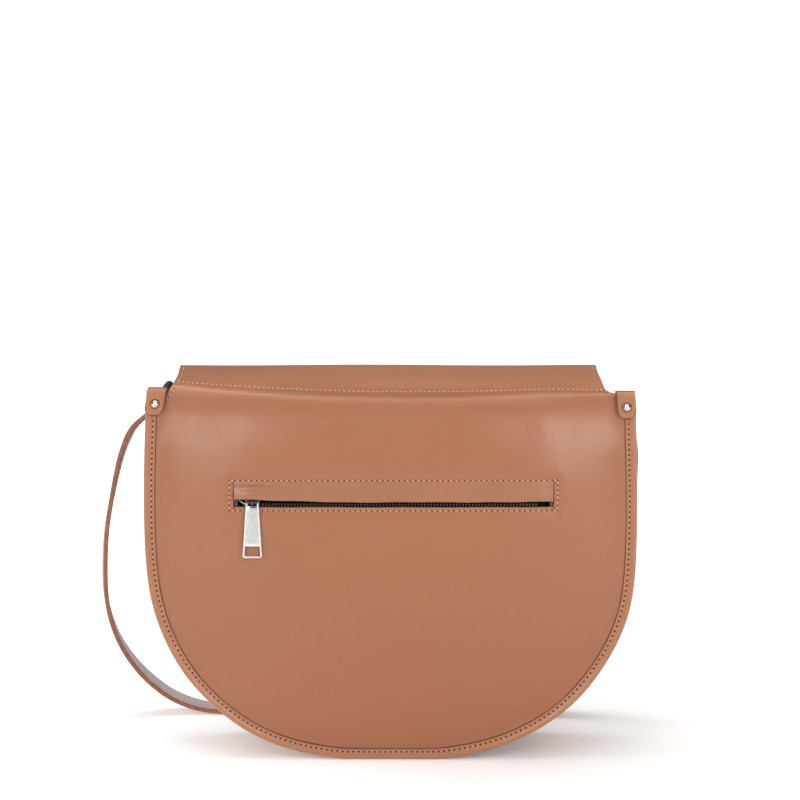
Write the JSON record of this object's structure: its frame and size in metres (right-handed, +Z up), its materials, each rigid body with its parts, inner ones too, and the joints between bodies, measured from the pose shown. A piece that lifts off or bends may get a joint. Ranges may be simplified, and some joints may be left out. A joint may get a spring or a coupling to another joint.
{
  "type": "satchel",
  "caption": "Half-moon leather satchel with a folding flap, a zip pocket in the back, bound edges, riveted corner tabs and a shoulder strap.",
  "frame": {"origin": "middle of the flat foot under the back seam, on the floor, in the plane of the back seam", "axes": "+X to the right seen from the back (the zip side), +Y from the back to the front, +Z up"},
  "size_m": [0.3503, 0.1614, 0.2444],
  "materials": {
    "back_panel": "smooth, semi-gloss",
    "front_panel": "smooth, semi-gloss",
    "gusset": "smooth, semi-gloss",
    "back_binding": "smooth, semi-gloss",
    "front_binding": "smooth, semi-gloss",
    "lining_gusset": "black woven",
    "lining_back": "black woven",
    "lining_front": "black woven",
    "zip_lip_upper": "smooth, semi-gloss",
    "zip_lip_lower": "smooth, semi-gloss",
    "zip_tape_upper": "dark brown woven",
    "zip_tape_lower": "dark brown woven",
    "zip_teeth_upper": "dark nickel",
    "zip_teeth_lower": "dark nickel",
    "zip_stop_left": "dark nickel",
    "zip_stop_right": "dark nickel",
    "zip_pocket_bag": "black woven",
    "slip_pocket": "black woven",
    "magnet_front": "polished silver",
    "corner_tab_left": "smooth, semi-gloss",
    "corner_tab_right": "smooth, semi-gloss",
    "tab_rivet_left": "polished silver",
    "tab_rivet_right": "polished silver",
    "strap_rivet_left": "polished silver",
    "strap_rivet_right": "polished silver",
    "flap_top": "smooth, semi-gloss",
    "flap_top_lining": "smooth",
    "flap_front": "smooth, semi-gloss",
    "flap_front_lining": "smooth",
    "magnet_flap": "polished silver",
    "zip_slider": "dark nickel",
    "zip_pull": "polished silver",
    "shoulder_strap": "smooth, semi-gloss"
  },
  "bodies": {
    "bag": {"back_panel": "back_panel", "front_panel": "front_panel", "gusset": "gusset", "back_binding": "back_binding", "front_binding": "front_binding", "lining_gusset": "lining_gusset", "lining_back": "lining_back", "lining_front": "lining_front", "zip_lip_upper": "zip_lip_upper", "zip_lip_lower": "zip_lip_lower", "zip_tape_upper": "zip_tape_upper", "zip_tape_lower": "zip_tape_lower", "zip_teeth_upper": "zip_teeth_upper", "zip_teeth_lower": "zip_teeth_lower", "zip_stop_left": "zip_stop_left", "zip_stop_right": "zip_stop_right", "zip_pocket_bag": "zip_pocket_bag", "slip_pocket": "slip_pocket", "magnet_front": "magnet_front", "corner_tab_left": "corner_tab_left", "corner_tab_right": "corner_tab_right", "tab_rivet_left": "tab_rivet_left", "tab_rivet_right": "tab_rivet_right", "strap_rivet_left": "strap_rivet_left", "strap_rivet_right": "strap_rivet_right"},
    "flap_top": {"flap_top": "flap_top", "flap_top_lining": "flap_top_lining"},
    "flap_front": {"flap_front": "flap_front", "flap_front_lining": "flap_front_lining", "magnet_flap": "magnet_flap"},
    "zip_slider": {"zip_slider": "zip_slider"},
    "zip_pull": {"zip_pull": "zip_pull"},
    "strap": {"shoulder_strap": "shoulder_strap"}
  },
  "joints": [
    {"name": "flap_lift", "type": "hinge", "parent": "bag", "child": "flap_top", "pos_m": [0, 0.006, 0.239], "axis": [1, 0, 0], "range_deg": [0, 120]},
    {"name": "flap_unfold", "type": "hinge", "parent": "flap_top", "child": "flap_front", "pos_m": [0, 0.05457, 0.24435], "axis": [1, 0, 0], "range_deg": [0, 100]},
    {"name": "zip_slide", "type": "slide", "parent": "bag", "child": "zip_slider", "axis": [1, 0, 0], "range_m": [0, 0.18]},
    {"name": "pull_swing", "type": "hinge", "parent": "zip_slider", "child": "zip_pull", "pos_m": [-0.0869, -0.0176, 0.1698], "axis": [-1, 0, 0], "range_deg": [0, 170]},
    {"name": "strap_swing", "type": "hinge", "parent": "bag", "child": "strap", "pos_m": [0, 0.036, 0.226], "axis": [1, 0, 0], "range_deg": [0, 150]}
  ]
}
